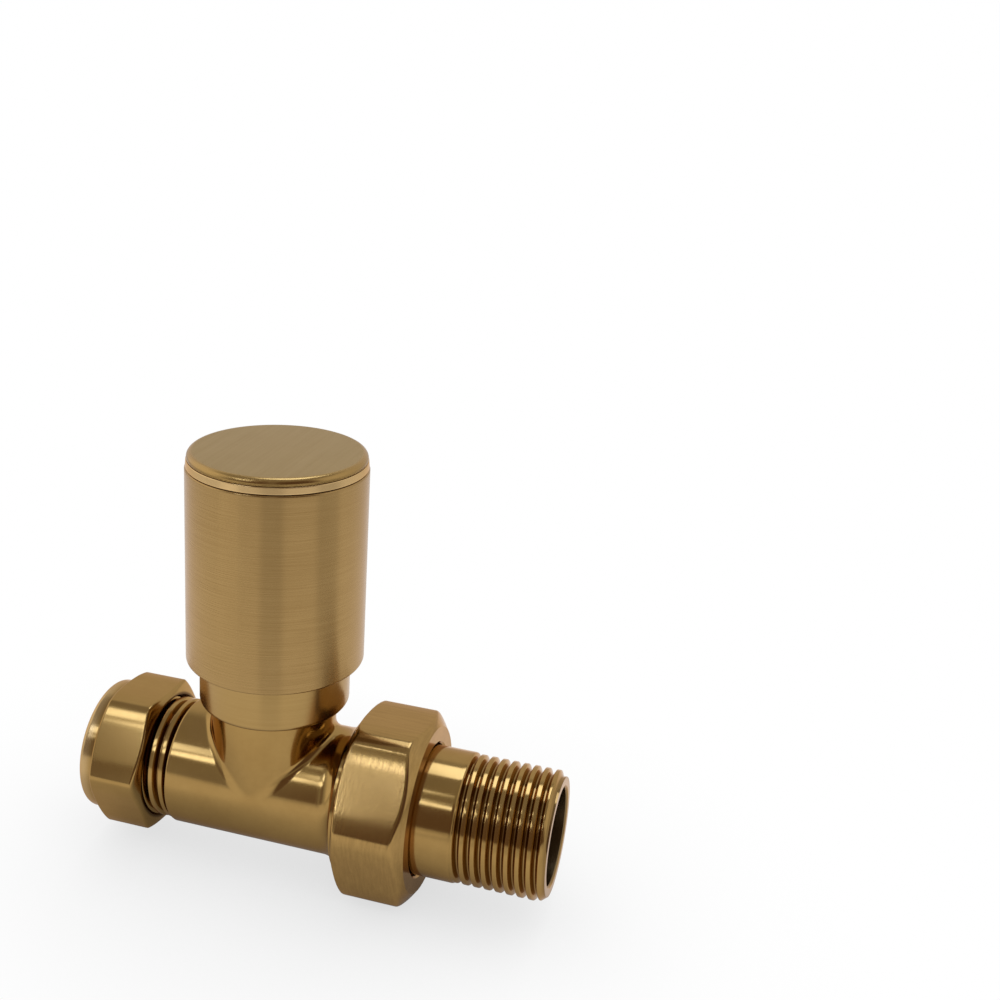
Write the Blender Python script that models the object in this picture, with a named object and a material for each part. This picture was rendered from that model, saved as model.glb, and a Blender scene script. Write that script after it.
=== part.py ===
# Straight lockshield radiator valve in brass, as separate pieces in their assembled places.
# Metres, +Z up. X is the pipe axis (inlet at -X, radiator tail at +X), Z is the spindle axis,
# and the origin is where the two axes cross.
import math

import bmesh
import bpy
from mathutils import Matrix

MM = 0.001
HALF_TURN = math.pi
RIGHT_ANGLE = 90.0
SHARP_ANGLE = 35.0
MERGE_DISTANCE = 0.0003 * MM

# Fits
CLEARANCE = 0.3 * MM
SEAL_GAP = 0.12 * MM
THREAD_CLEARANCE = 0.36 * MM
CUT_OVERRUN = 1.0 * MM

# Number of sides of round pieces
LARGE_SIDES = 40
SMALL_SIDES = 24
THREAD_SIDES = 20
SEAL_SECTION_SIDES = 8
ARC_STEPS = 3

# Body
TUBE_DIAMETER = 21.3 * MM
NECK_STEP = 0.1 * MM
NECK_WALL = 2.05 * MM
NECK_TOP = 15.3 * MM
INLET_LENGTH = 15.4 * MM
OUTLET_SHOULDER = 15.5 * MM
SHOULDER_FILLET = 3.0 * MM
SHOULDER_LAND = 0.6 * MM
SHOULDER_STEP = 0.2 * MM
SPIGOT_LENGTH = 7.8 * MM
CHAMBER_FLOOR = 1.2 * MM
CHAMBER_TURN = 1.0
SEAT_OVERLAP = 0.2 * MM
SEAT_LIP_WIDTH = 1.0 * MM
SEAT_LIP_HEIGHT = 0.8 * MM
SEAT_WEB = 1.4 * MM
INLET_PASSAGE = 8.2 * MM
OUTLET_PASSAGE = 7.6 * MM
OUTLET_PASSAGE_HEIGHT = 4.2 * MM
OUTLET_BORE = 16.0 * MM
OUTLET_BORE_DEPTH = 5.0 * MM

# Threads
PIPE_THREAD_PITCH = 1.814 * MM
COMPRESSION_THREAD = 20.4 * MM
COMPRESSION_THREAD_LENGTH = 10.0 * MM
UNION_THREAD = 25.2 * MM
UNION_THREAD_PITCH = 1.5 * MM
TAIL_THREAD = 20.955 * MM
THREAD_DEPTH = 1.0 * MM
THREAD_ROOT_SHARE = 0.22
THREAD_CREST_SHARE = 0.18
THREAD_LEAD_SHARE = 0.37
THREAD_SPARE_TURNS = 2

# Pipe end
PIPE_DIAMETER = 15.0 * MM
PIPE_PLAY = 0.15 * MM
SOCKET_DEPTH = 13.5 * MM
OLIVE_LENGTH = 4.6 * MM
OLIVE_THICKNESS = 0.8 * MM
OLIVE_END_THICKNESS = 0.35 * MM
OLIVE_INSERTION = 1.6 * MM
EXPOSED_THREAD = 4.1 * MM
COMPRESSION_NUT_FLATS = 22.8 * MM
COMPRESSION_NUT_TURN = -5.7
COMPRESSION_NUT_END_WALL = 2.7 * MM
NUT_COLLAR_DIAMETER = 22.2 * MM
NUT_COLLAR_LENGTH = 2.5 * MM
NUT_COLLAR_ROUND = 0.9 * MM
COMPRESSION_NUT_CHAMFER_SLOPE = 0.4

# Union
UNION_NUT_FLATS = 28.6 * MM
UNION_NUT_TURN = -9.7
UNION_NUT_FACE_DIAMETER = 27.0 * MM
UNION_NUT_BACK_DIAMETER = 26.4 * MM
UNION_NUT_BACK_DOME = 2.4 * MM
UNION_NUT_CHAMFER_SLOPE = 0.55
UNION_NUT_LIP = 1.4 * MM
GASKET_THICKNESS = 1.0 * MM
GASKET_WIDTH = 2.6 * MM
TAIL_SHANK_DIAMETER = 21.24 * MM
TAIL_SHANK_LENGTH = 8.3 * MM
TAIL_HEAD_WIDTH = 0.95 * MM
TAIL_HEAD_LENGTH = 1.3 * MM
TAIL_THREAD_LENGTH = 15.3 * MM
TAIL_CHAMFER = 0.75 * MM
TAIL_BORE = 15.8 * MM
KEY_LUG_HEIGHT = 1.6 * MM
KEY_LUG_WIDTH = 3.0 * MM
KEY_LUG_LENGTH = 8.0 * MM
KEY_LUG_INSET = 4.0 * MM
KEY_LUG_TURN = 55.0

# Headwork
COLLAR_HEIGHT = 9.3 * MM
COLLAR_ROUND = 1.0 * MM
BONNET_LEDGE = 0.5 * MM
BONNET_WALL = 0.75 * MM
BONNET_SKIRT_LENGTH = 6.0 * MM
BONNET_HEX_HEIGHT = 4.3 * MM
GLAND_BORE = 10.6 * MM
GLAND_LEDGE_THICKNESS = 1.6 * MM
GLAND_HEAD_FLATS = 11.0 * MM
GLAND_HEAD_HEIGHT = 3.2 * MM
SPINDLE_DIAMETER = 6.0 * MM
SPINDLE_HEAD_LENGTH = 12.0 * MM
SPINDLE_KEY_SQUARE = 4.6 * MM
SPINDLE_KEY_LENGTH = 8.0 * MM
GLAND_WASHER_HEIGHT = 0.8 * MM
O_RING_SECTION = 1.4 * MM
LOWER_SEAL_SHARE = 0.25
UPPER_SEAL_SHARE = 0.5
PLUG_HEIGHT = 10.0 * MM
PLUG_BASE = 2.4 * MM
PLUG_LIFT = 4.5 * MM
SEAT_WASHER_HEIGHT = 2.0 * MM
SEAT_WASHER_STEP = 0.85 * MM
WASHER_SCREW_SHANK = 2.4 * MM
WASHER_SCREW_HEAD = 5.0 * MM
WASHER_SCREW_HEAD_HEIGHT = 1.2 * MM
SCREW_SLOT_WIDTH = 0.8 * MM

# Cap
CAP_DIAMETER = 29.4 * MM
CAP_SLEEVE_HEIGHT = 33.1 * MM
CAP_OVERLAP = 1.5 * MM
CAP_WALL = 1.2 * MM
CAP_GAP = 1.0 * MM
CAP_EDGE_ROUND = 0.4 * MM
TRIM_RING_HEIGHT = 0.75 * MM
TRIM_RING_TAPER = 0.3 * MM
TOP_DISC_HEIGHT = 1.2 * MM
TOP_DISC_ROUND = 1.0 * MM
CAP_SPIGOT_LENGTH = 3.2 * MM
CAP_SPIGOT_WALL = 2.2 * MM
INSERT_TOP_WALL = 2.0 * MM
INSERT_WALL = 1.93 * MM

# Diameters that follow from the tube
neck_radius = TUBE_DIAMETER / 2 - NECK_STEP
chamber_radius = neck_radius - NECK_WALL
bonnet_shank_radius = chamber_radius + BONNET_LEDGE
bonnet_skirt_radius = chamber_radius - CLEARANCE
seal_groove_depth = O_RING_SECTION - CLEARANCE
guide_radius = bonnet_skirt_radius - seal_groove_depth - BONNET_WALL
plug_radius = guide_radius - CLEARANCE
seat_washer_radius = plug_radius - SEAT_WASHER_STEP
seat_lip_radius = seat_washer_radius - SEAT_OVERLAP
seat_bore_radius = seat_lip_radius - SEAT_LIP_WIDTH

# Diameters that follow from the cap
cap_bore_radius = CAP_DIAMETER / 2 - CAP_WALL
collar_radius = cap_bore_radius - CAP_GAP
insert_radius = cap_bore_radius - CLEARANCE
insert_bore_radius = insert_radius - INSERT_WALL
bonnet_hex_flats = 2 * (insert_bore_radius - CLEARANCE) * math.cos(HALF_TURN / 6)
trim_spigot_radius = cap_bore_radius - CLEARANCE
trim_bore_radius = trim_spigot_radius - CAP_SPIGOT_WALL
disc_spigot_radius = trim_bore_radius - CLEARANCE

# Places along the pipe axis
inlet_end = -INLET_LENGTH
body_mouth = inlet_end - COMPRESSION_THREAD_LENGTH
socket_radius = PIPE_DIAMETER / 2 + PIPE_PLAY
socket_end = body_mouth + SOCKET_DEPTH
olive_front = body_mouth + OLIVE_INSERTION
olive_rear = olive_front - OLIVE_LENGTH
olive_radius = socket_radius + OLIVE_THICKNESS
compression_nut_face = inlet_end - EXPOSED_THREAD
compression_nut_shoulder = olive_rear - CLEARANCE
compression_nut_end = compression_nut_shoulder - COMPRESSION_NUT_END_WALL
spigot_end = OUTLET_SHOULDER + SPIGOT_LENGTH
union_nut_back = OUTLET_SHOULDER + CLEARANCE
gasket_back = spigot_end + CLEARANCE
tail_back = gasket_back + GASKET_THICKNESS + CLEARANCE
tail_head_front = tail_back + TAIL_HEAD_LENGTH
union_nut_shoulder = tail_head_front + CLEARANCE
union_nut_face = union_nut_shoulder + UNION_NUT_LIP
tail_head_radius = TAIL_SHANK_DIAMETER / 2 + TAIL_HEAD_WIDTH
tail_thread_start = tail_head_front + TAIL_SHANK_LENGTH
tail_end = tail_thread_start + TAIL_THREAD_LENGTH

# Places along the spindle axis
seat_top = CHAMBER_FLOOR + SEAT_LIP_HEIGHT
inlet_passage_height = CHAMBER_FLOOR - SEAT_WEB - INLET_PASSAGE / 2
washer_bottom = seat_top + CLEARANCE
plug_bottom = washer_bottom + SEAT_WASHER_HEIGHT + CLEARANCE
plug_top = plug_bottom + PLUG_HEIGHT
collar_bottom = NECK_TOP + CLEARANCE
collar_top = collar_bottom + COLLAR_HEIGHT
bonnet_skirt_bottom = NECK_TOP - BONNET_SKIRT_LENGTH
bonnet_ceiling = plug_top + PLUG_LIFT + CLEARANCE
bonnet_hex_bottom = collar_top + CLEARANCE
bonnet_top = bonnet_hex_bottom + BONNET_HEX_HEIGHT
gland_ledge = bonnet_ceiling + GLAND_LEDGE_THICKNESS
gland_bottom = gland_ledge + GLAND_WASHER_HEIGHT + 2 * CLEARANCE
gland_head_bottom = bonnet_top + CLEARANCE
gland_top = gland_head_bottom + GLAND_HEAD_HEIGHT
spindle_top = gland_top + SPINDLE_HEAD_LENGTH
spindle_tip = plug_bottom + PLUG_BASE + CLEARANCE
spindle_hole = SPINDLE_DIAMETER / 2 + CLEARANCE
cap_bottom = collar_top - CAP_OVERLAP
sleeve_top = cap_bottom + CAP_SLEEVE_HEIGHT
trim_bottom = sleeve_top + CLEARANCE
trim_top = trim_bottom + TRIM_RING_HEIGHT
disc_bottom = trim_top + CLEARANCE
disc_top = disc_bottom + TOP_DISC_HEIGHT
trim_spigot_bottom = trim_bottom - CAP_SPIGOT_LENGTH
insert_bottom = collar_top + CLEARANCE
insert_top = trim_spigot_bottom - CLEARANCE


def corner_radius(flats, sides=6):
    # Radius through the corners of a prism measured across its flats.
    return flats / 2 / math.cos(HALF_TURN / sides)


def clear_scene():
    for item in list(bpy.data.objects):
        bpy.data.objects.remove(item, do_unlink=True)


def add_object(name, bm, along_x=False, turn=0.0):
    # Puts a mesh built round local Z in the scene, on the spindle axis or on the pipe axis.
    if turn:
        bmesh.ops.rotate(bm, verts=bm.verts, matrix=Matrix.Rotation(math.radians(turn), 3, "Z"))
    if along_x:
        bmesh.ops.rotate(bm, verts=bm.verts, matrix=Matrix.Rotation(HALF_TURN / 2, 3, "Y"))
    bmesh.ops.recalc_face_normals(bm, faces=bm.faces)
    mesh = bpy.data.meshes.new(name)
    bm.to_mesh(mesh)
    bm.free()
    mesh.shade_smooth()
    mesh.set_sharp_from_angle(angle=math.radians(SHARP_ANGLE))
    piece = bpy.data.objects.new(name, mesh)
    bpy.context.collection.objects.link(piece)
    return piece


def turned(name, outline, sides=SMALL_SIDES, along_x=False):
    # Spins a closed outline of (radius, height) points round the axis.
    bm = bmesh.new()
    verts = [bm.verts.new((radius, 0, height)) for radius, height in outline]
    edges = [bm.edges.new((verts[i - 1], verts[i])) for i in range(len(verts))]
    edges = [e for e in edges if max(v.co.x for v in e.verts) > 0]
    bmesh.ops.delete(bm, geom=[e for e in bm.edges if e not in edges], context="EDGES_FACES")
    bmesh.ops.spin(
        bm,
        geom=edges + [v for v in bm.verts if v.is_valid],
        cent=(0, 0, 0),
        axis=(0, 0, 1),
        angle=2 * HALF_TURN,
        steps=sides,
        use_merge=True,
    )
    bmesh.ops.remove_doubles(bm, verts=bm.verts, dist=MERGE_DISTANCE)
    return add_object(name, bm, along_x)


def prism(name, flats, bottom, top, sides=6, along_x=False, turn=0.0):
    # Prism of regular section with its corners turned from the first axis across it.
    bm = bmesh.new()
    bmesh.ops.create_cone(
        bm,
        cap_ends=True,
        segments=sides,
        radius1=corner_radius(flats, sides),
        radius2=corner_radius(flats, sides),
        depth=top - bottom,
    )
    bm.verts.ensure_lookup_table()
    first_corner = math.atan2(bm.verts[0].co.y, bm.verts[0].co.x)
    bmesh.ops.rotate(bm, verts=bm.verts, matrix=Matrix.Rotation(-first_corner, 3, "Z"))
    bmesh.ops.translate(bm, verts=bm.verts, vec=(0, 0, (top + bottom) / 2))
    return add_object(name, bm, along_x, turn)


def block(name, low, high):
    bm = bmesh.new()
    bmesh.ops.create_cube(bm, size=1.0)
    bmesh.ops.scale(bm, verts=bm.verts, vec=[high[i] - low[i] for i in range(3)])
    bmesh.ops.translate(bm, verts=bm.verts, vec=[(high[i] + low[i]) / 2 for i in range(3)])
    return add_object(name, bm)


def arc(centre, radius, start, end, steps=ARC_STEPS):
    # Points (radius, height) on an arc of a turned outline, angles in degrees.
    angles = [math.radians(start + (end - start) * i / steps) for i in range(steps + 1)]
    return [(centre[0] + radius * math.cos(a), centre[1] + radius * math.sin(a)) for a in angles]


def cylinder(name, radius, bottom, top, sides=SMALL_SIDES, along_x=False):
    outline = [(0, top), (radius, top), (radius, bottom), (0, bottom)]
    return turned(name, outline, sides, along_x)


def ring(name, outer, inner, bottom, top, sides=SMALL_SIDES, along_x=False):
    outline = [(inner, top), (outer, top), (outer, bottom), (inner, bottom)]
    return turned(name, outline, sides, along_x)


def thread(name, crest, pitch, start, end):
    # Right-handed threaded rod on the pipe axis, reaching past start and end by some spare turns.
    root = crest - THREAD_DEPTH
    flank = (1 - THREAD_ROOT_SHARE - THREAD_CREST_SHARE) / 2
    rise = THREAD_ROOT_SHARE + flank
    form = [(0, root), (THREAD_ROOT_SHARE, root), (rise, crest), (rise + THREAD_CREST_SHARE, crest)]
    first = math.floor(start / pitch) - THREAD_SPARE_TURNS
    last = math.ceil(end / pitch) + THREAD_SPARE_TURNS
    bm = bmesh.new()
    rows = []
    for turn in range(first, last):
        for share, radius in form:
            row = []
            for side in range(THREAD_SIDES):
                angle = 2 * HALF_TURN * (side + THREAD_LEAD_SHARE) / THREAD_SIDES
                height = (turn + share + side / THREAD_SIDES) * pitch
                row.append(bm.verts.new((radius * math.cos(angle), radius * math.sin(angle), height)))
            rows.append(row)
    for row in range(len(rows) - 1):
        low = rows[row]
        high = rows[row + 1]
        for side in range(THREAD_SIDES - 1):
            bm.faces.new((low[side], low[side + 1], high[side + 1], high[side]))
        if row + len(form) + 1 < len(rows):
            next_low = rows[row + len(form)][0]
            next_high = rows[row + len(form) + 1][0]
            bm.faces.new((low[-1], next_low, next_high, high[-1]))
    open_edges = [e for e in bm.edges if e.is_boundary]
    middle = (first + last) / 2 * pitch
    ends = {
        False: bm.verts.new((0, 0, (first - 1) * pitch)),
        True: bm.verts.new((0, 0, (last + 1) * pitch)),
    }
    for edge in open_edges:
        upper = edge.verts[0].co.z > middle
        bm.faces.new((edge.verts[0], edge.verts[1], ends[upper]))
    bmesh.ops.triangulate(bm, faces=bm.faces)
    return add_object(name, bm, along_x=True)


def apply_boolean(piece, tool, operation):
    # Keeps the tool as a hidden guide and adds the operation to the piece.
    modifier = piece.modifiers.new(tool.name, "BOOLEAN")
    modifier.operation = operation
    modifier.solver = "EXACT"
    modifier.object = tool
    tool.hide_render = True
    tool.display_type = "WIRE"
    tool.parent = piece


def join(piece, *tools):
    for tool in tools:
        apply_boolean(piece, tool, "UNION")


def cut(piece, *tools):
    for tool in tools:
        apply_boolean(piece, tool, "DIFFERENCE")


def trim(piece, tool):
    apply_boolean(piece, tool, "INTERSECT")


def finish(piece, colour, roughness, metallic):
    material = bpy.data.materials.new(piece.name)
    material.use_nodes = True
    shader = material.node_tree.nodes["Principled BSDF"]
    shader.inputs["Base Color"].default_value = (*colour, 1.0)
    shader.inputs["Roughness"].default_value = roughness
    shader.inputs["Metallic"].default_value = metallic
    piece.data.materials.append(material)


def polished_brass(piece):
    finish(piece, (0.56, 0.38, 0.15), 0.16, 1.0)


def brushed_brass(piece):
    finish(piece, (0.48, 0.35, 0.17), 0.36, 1.0)


def raw_brass(piece):
    finish(piece, (0.50, 0.36, 0.14), 0.45, 1.0)


def rubber(piece):
    finish(piece, (0.02, 0.02, 0.02), 0.65, 0.0)


def plastic(piece):
    finish(piece, (0.62, 0.60, 0.54), 0.50, 0.0)


def fibre(piece):
    finish(piece, (0.20, 0.07, 0.05), 0.80, 0.0)


def make_threaded_end(name, crest, pitch, start, end, chamfer):
    # Threaded rod between two places on the pipe axis, its free end chamfered.
    rod = thread(name, crest, pitch, start, end)
    free = end if abs(end) > abs(start) else start
    inner = start if free == end else end
    inward = 1 if free < inner else -1
    outline = [(0, free), (crest - chamfer, free)]
    outline += [(crest + CUT_OVERRUN, free + inward * (chamfer + CUT_OVERRUN))]
    outline += [(crest + CUT_OVERRUN, inner), (0, inner)]
    trim(rod, turned(name + "_envelope", outline, LARGE_SIDES, along_x=True))
    return rod


def make_valve_body():
    tube = TUBE_DIAMETER / 2
    shoulder = UNION_THREAD / 2 + SHOULDER_STEP
    flare_start = OUTLET_SHOULDER - SHOULDER_LAND - SHOULDER_FILLET
    outline = [(0, OUTLET_SHOULDER), (shoulder, OUTLET_SHOULDER)]
    for step in range(ARC_STEPS + 1):
        angle = HALF_TURN / 2 * step / ARC_STEPS
        radius = tube + (shoulder - tube) * (1 - math.sin(angle))
        outline.append((radius, flare_start + SHOULDER_FILLET * math.cos(angle)))
    outline += [(tube, inlet_end), (0, inlet_end)]
    body = turned("valve_body", outline, LARGE_SIDES, along_x=True)
    neck = cylinder("body_neck", neck_radius, 0, NECK_TOP, LARGE_SIDES)
    inlet_thread = make_threaded_end(
        "body_inlet_thread",
        COMPRESSION_THREAD / 2,
        PIPE_THREAD_PITCH,
        body_mouth,
        inlet_end + CUT_OVERRUN,
        THREAD_DEPTH / 2,
    )
    outlet_thread = make_threaded_end(
        "body_outlet_thread",
        UNION_THREAD / 2,
        UNION_THREAD_PITCH,
        OUTLET_SHOULDER - SHOULDER_LAND / 2,
        spigot_end,
        THREAD_DEPTH / 2,
    )
    join(body, neck, inlet_thread, outlet_thread)
    cut(body, make_socket_cutter(), make_outlet_cutter(), make_chamber_cutter())
    cut(body, make_inlet_passage_cutter(), make_outlet_passage_cutter())
    polished_brass(body)


def make_socket_cutter():
    # Pipe socket with a wider mouth that takes the front half of the olive.
    mouth_start = olive_front + CLEARANCE
    mouth = olive_radius + CLEARANCE
    seat = socket_radius + OLIVE_END_THICKNESS + CLEARANCE
    outline = [(0, socket_end), (socket_radius, socket_end), (socket_radius, mouth_start)]
    outline += [(seat, mouth_start), (mouth, body_mouth - CUT_OVERRUN), (0, body_mouth - CUT_OVERRUN)]
    return turned("body_socket", outline, along_x=True)


def make_outlet_cutter():
    bottom = spigot_end - OUTLET_BORE_DEPTH
    return cylinder("body_outlet_bore", OUTLET_BORE / 2, bottom, spigot_end + CUT_OVERRUN, along_x=True)


def make_chamber_cutter():
    # Chamber above the seat, with the raised lip of the seat left standing on its floor.
    top = NECK_TOP + CUT_OVERRUN
    outline = [(0, top), (chamber_radius, top), (chamber_radius, CHAMBER_FLOOR)]
    outline += [(seat_lip_radius, CHAMBER_FLOOR), (seat_lip_radius, seat_top), (seat_bore_radius, seat_top)]
    outline += [(seat_bore_radius, inlet_passage_height), (0, inlet_passage_height)]
    cutter = turned("body_chamber", outline)
    cutter.rotation_euler.z = math.radians(CHAMBER_TURN)
    return cutter


def make_inlet_passage_cutter():
    cutter = cylinder(
        "body_inlet_passage",
        INLET_PASSAGE / 2,
        socket_end - CUT_OVERRUN,
        seat_bore_radius,
        along_x=True,
    )
    cutter.location.z = inlet_passage_height
    return cutter


def make_outlet_passage_cutter():
    start = seat_lip_radius + CUT_OVERRUN
    end = spigot_end - OUTLET_BORE_DEPTH + CUT_OVERRUN
    cutter = cylinder("body_outlet_passage", OUTLET_PASSAGE / 2, start, end, along_x=True)
    cutter.location.z = OUTLET_PASSAGE_HEIGHT
    return cutter


def make_olive():
    middle = (olive_front + olive_rear) / 2
    end_radius = socket_radius + OLIVE_END_THICKNESS
    outline = [(socket_radius, olive_front), (end_radius, olive_front), (olive_radius, middle)]
    outline += [(end_radius, olive_rear), (socket_radius, olive_rear)]
    olive = turned("olive", outline, along_x=True)
    raw_brass(olive)


def make_compression_nut():
    corner = corner_radius(COMPRESSION_NUT_FLATS) + CLEARANCE
    collar = NUT_COLLAR_DIAMETER / 2
    hex_back = compression_nut_end + NUT_COLLAR_LENGTH
    chamfer = (corner - collar) * COMPRESSION_NUT_CHAMFER_SLOPE
    nut = prism(
        "compression_nut",
        COMPRESSION_NUT_FLATS,
        compression_nut_end - CUT_OVERRUN,
        compression_nut_face + CUT_OVERRUN,
        along_x=True,
        turn=RIGHT_ANGLE + COMPRESSION_NUT_TURN,
    )
    outline = [(0, compression_nut_face), (collar, compression_nut_face)]
    outline += [(corner, compression_nut_face - chamfer), (corner, hex_back + chamfer), (collar, hex_back)]
    rounded = (collar - NUT_COLLAR_ROUND, compression_nut_end + NUT_COLLAR_ROUND)
    outline += arc(rounded, NUT_COLLAR_ROUND, 0, -90)
    outline += [(0, compression_nut_end)]
    trim(nut, turned("compression_nut_envelope", outline, LARGE_SIDES, along_x=True))
    thread_end = body_mouth - CLEARANCE
    crest = COMPRESSION_THREAD / 2 + THREAD_CLEARANCE
    thread_cutter = make_thread_cutter(
        "compression_nut_thread",
        crest,
        PIPE_THREAD_PITCH,
        thread_end,
        compression_nut_face + CUT_OVERRUN,
    )
    pipe_hole = cylinder(
        "compression_nut_pipe_hole",
        socket_radius,
        compression_nut_end - CUT_OVERRUN,
        compression_nut_shoulder + CUT_OVERRUN,
        along_x=True,
    )
    olive_space = olive_radius + CLEARANCE
    olive_pocket = cylinder(
        "compression_nut_pocket",
        olive_space,
        compression_nut_shoulder,
        thread_end + CUT_OVERRUN,
        along_x=True,
    )
    cut(nut, thread_cutter, olive_pocket, pipe_hole)
    polished_brass(nut)


def make_thread_cutter(name, crest, pitch, low, high):
    # Female thread between two places: the male thread grown by the thread clearance.
    cutter = thread(name, crest, pitch, low, high)
    outline = [(0, high), (crest + CUT_OVERRUN, high), (crest + CUT_OVERRUN, low), (0, low)]
    trim(cutter, turned(name + "_envelope", outline, LARGE_SIDES, along_x=True))
    return cutter


def make_union_nut():
    corner = corner_radius(UNION_NUT_FLATS) + CLEARANCE
    face = UNION_NUT_FACE_DIAMETER / 2
    back = UNION_NUT_BACK_DIAMETER / 2
    nut = prism(
        "union_nut",
        UNION_NUT_FLATS,
        union_nut_back - CUT_OVERRUN,
        union_nut_face + CUT_OVERRUN,
        along_x=True,
        turn=RIGHT_ANGLE + UNION_NUT_TURN,
    )
    face_chamfer = (corner - face) * UNION_NUT_CHAMFER_SLOPE
    outline = [(0, union_nut_face), (face, union_nut_face), (corner, union_nut_face - face_chamfer)]
    for step in range(ARC_STEPS + 1):
        angle = HALF_TURN / 2 * step / ARC_STEPS
        radius = back + (corner - back) * math.cos(angle)
        outline.append((radius, union_nut_back + UNION_NUT_BACK_DOME * (1 - math.sin(angle))))
    outline += [(0, union_nut_back)]
    trim(nut, turned("union_nut_envelope", outline, LARGE_SIDES, along_x=True))
    crest = UNION_THREAD / 2 + THREAD_CLEARANCE
    thread_end = spigot_end + CLEARANCE
    thread_cutter = make_thread_cutter(
        "union_nut_thread", crest, UNION_THREAD_PITCH, union_nut_back - CUT_OVERRUN, thread_end
    )
    pocket = cylinder(
        "union_nut_pocket",
        tail_head_radius + CLEARANCE,
        thread_end - CUT_OVERRUN,
        union_nut_shoulder,
        along_x=True,
    )
    hole = TAIL_SHANK_DIAMETER / 2 + CLEARANCE
    tail_hole = cylinder(
        "union_nut_hole",
        hole,
        union_nut_shoulder - CUT_OVERRUN,
        union_nut_face + CUT_OVERRUN,
        LARGE_SIDES,
        along_x=True,
    )
    cut(nut, thread_cutter, pocket, tail_hole)
    brushed_brass(nut)


def make_union_gasket():
    outer = tail_head_radius
    gasket = ring(
        "union_gasket",
        outer,
        outer - GASKET_WIDTH,
        gasket_back,
        gasket_back + GASKET_THICKNESS,
        along_x=True,
    )
    fibre(gasket)


def make_union_tail():
    shank = TAIL_SHANK_DIAMETER / 2
    outline = [(0, tail_thread_start), (shank - TAIL_CHAMFER, tail_thread_start)]
    outline += [(shank, tail_thread_start - TAIL_CHAMFER), (shank, tail_head_front)]
    outline += [(tail_head_radius, tail_head_front), (tail_head_radius, tail_back), (0, tail_back)]
    tail = turned("union_tail", outline, LARGE_SIDES, along_x=True)
    male = make_threaded_end(
        "tail_thread",
        TAIL_THREAD / 2,
        PIPE_THREAD_PITCH,
        tail_thread_start - CUT_OVERRUN,
        tail_end,
        TAIL_CHAMFER,
    )
    join(tail, male)
    bore = cylinder(
        "tail_bore",
        TAIL_BORE / 2,
        tail_back - CUT_OVERRUN,
        tail_end + CUT_OVERRUN,
        LARGE_SIDES,
        along_x=True,
    )
    for side in (0, 1):
        cut(bore, make_key_lug(side))
    cut(tail, bore)
    polished_brass(tail)


def make_key_lug(side):
    # Space in the bore that stays solid, so that a stepped key can turn the tail.
    low_end = tail_end - KEY_LUG_INSET - KEY_LUG_LENGTH
    tip = TAIL_BORE / 2 - KEY_LUG_HEIGHT
    lug = block(
        "tail_key_lug_%d" % side,
        (low_end, -KEY_LUG_WIDTH / 2, tip),
        (low_end + KEY_LUG_LENGTH, KEY_LUG_WIDTH / 2, TAIL_BORE / 2 + CUT_OVERRUN),
    )
    lug.rotation_euler.x = math.radians(KEY_LUG_TURN + (2 * side - 1) * RIGHT_ANGLE)
    return lug


def make_collar():
    inner = bonnet_shank_radius + CLEARANCE
    edge = (collar_radius - COLLAR_ROUND, collar_bottom + COLLAR_ROUND)
    outline = [(inner, collar_top), (collar_radius, collar_top)]
    outline += arc(edge, COLLAR_ROUND, 0, -90)
    outline += [(inner, collar_bottom)]
    collar = turned("collar", outline, LARGE_SIDES)
    brushed_brass(collar)


def make_bonnet():
    skirt = bonnet_skirt_radius
    shank = bonnet_shank_radius
    gland = GLAND_BORE / 2
    outline = [(gland, bonnet_top), (shank, bonnet_top), (shank, collar_bottom), (skirt, collar_bottom)]
    outline += groove(skirt, collar_bottom - O_RING_SECTION)
    outline += [(skirt, bonnet_skirt_bottom), (0, bonnet_skirt_bottom)]
    outline += [(0, gland_ledge), (gland, gland_ledge)]
    bonnet = turned("bonnet", outline)
    join(bonnet, prism("bonnet_hex", bonnet_hex_flats, bonnet_hex_bottom, bonnet_top))
    gland_hole = cylinder("bonnet_gland_bore", gland, gland_ledge, bonnet_top + CUT_OVERRUN)
    spindle_bore = cylinder("bonnet_spindle_bore", spindle_hole, bonnet_skirt_bottom, bonnet_top)
    guide = cylinder("bonnet_plug_guide", guide_radius, bonnet_skirt_bottom - CUT_OVERRUN, bonnet_ceiling)
    cut(bonnet, gland_hole, spindle_bore, guide)
    raw_brass(bonnet)


def groove(radius, top):
    # Square groove in a turned outline that runs downwards, for a seal ring of one section.
    floor = radius - seal_groove_depth
    bottom = top - O_RING_SECTION - 2 * SEAL_GAP
    return [(radius, top), (floor, top), (floor, bottom), (radius, bottom)]


def make_seal_ring(name, radius, top):
    # Seal ring that lies in a groove cut at the same radius and height.
    section = O_RING_SECTION / 2 - SEAL_GAP
    floor = radius - seal_groove_depth
    centre = (floor + section + SEAL_GAP, top - O_RING_SECTION / 2 - SEAL_GAP)
    outline = arc(centre, section, 180, -180, SEAL_SECTION_SIDES)[:-1]
    rubber(turned(name, outline))


def make_gland_nut():
    outer = GLAND_BORE / 2 - CLEARANCE
    seal_room = spindle_hole
    outline = [(seal_room, gland_top), (outer, gland_top), (outer, gland_bottom), (seal_room, gland_bottom)]
    nut = turned("gland_nut", outline)
    head = prism("gland_nut_head", GLAND_HEAD_FLATS, gland_head_bottom, gland_top)
    hole = cylinder("gland_nut_hole", seal_room, gland_bottom - CUT_OVERRUN, gland_top + CUT_OVERRUN)
    join(nut, head)
    cut(nut, hole)
    raw_brass(nut)


def seal_heights():
    # Tops of the spindle's two seal grooves, inside the gland nut.
    length = gland_top - gland_bottom
    return [gland_bottom + length * share for share in (LOWER_SEAL_SHARE, UPPER_SEAL_SHARE)]


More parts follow.
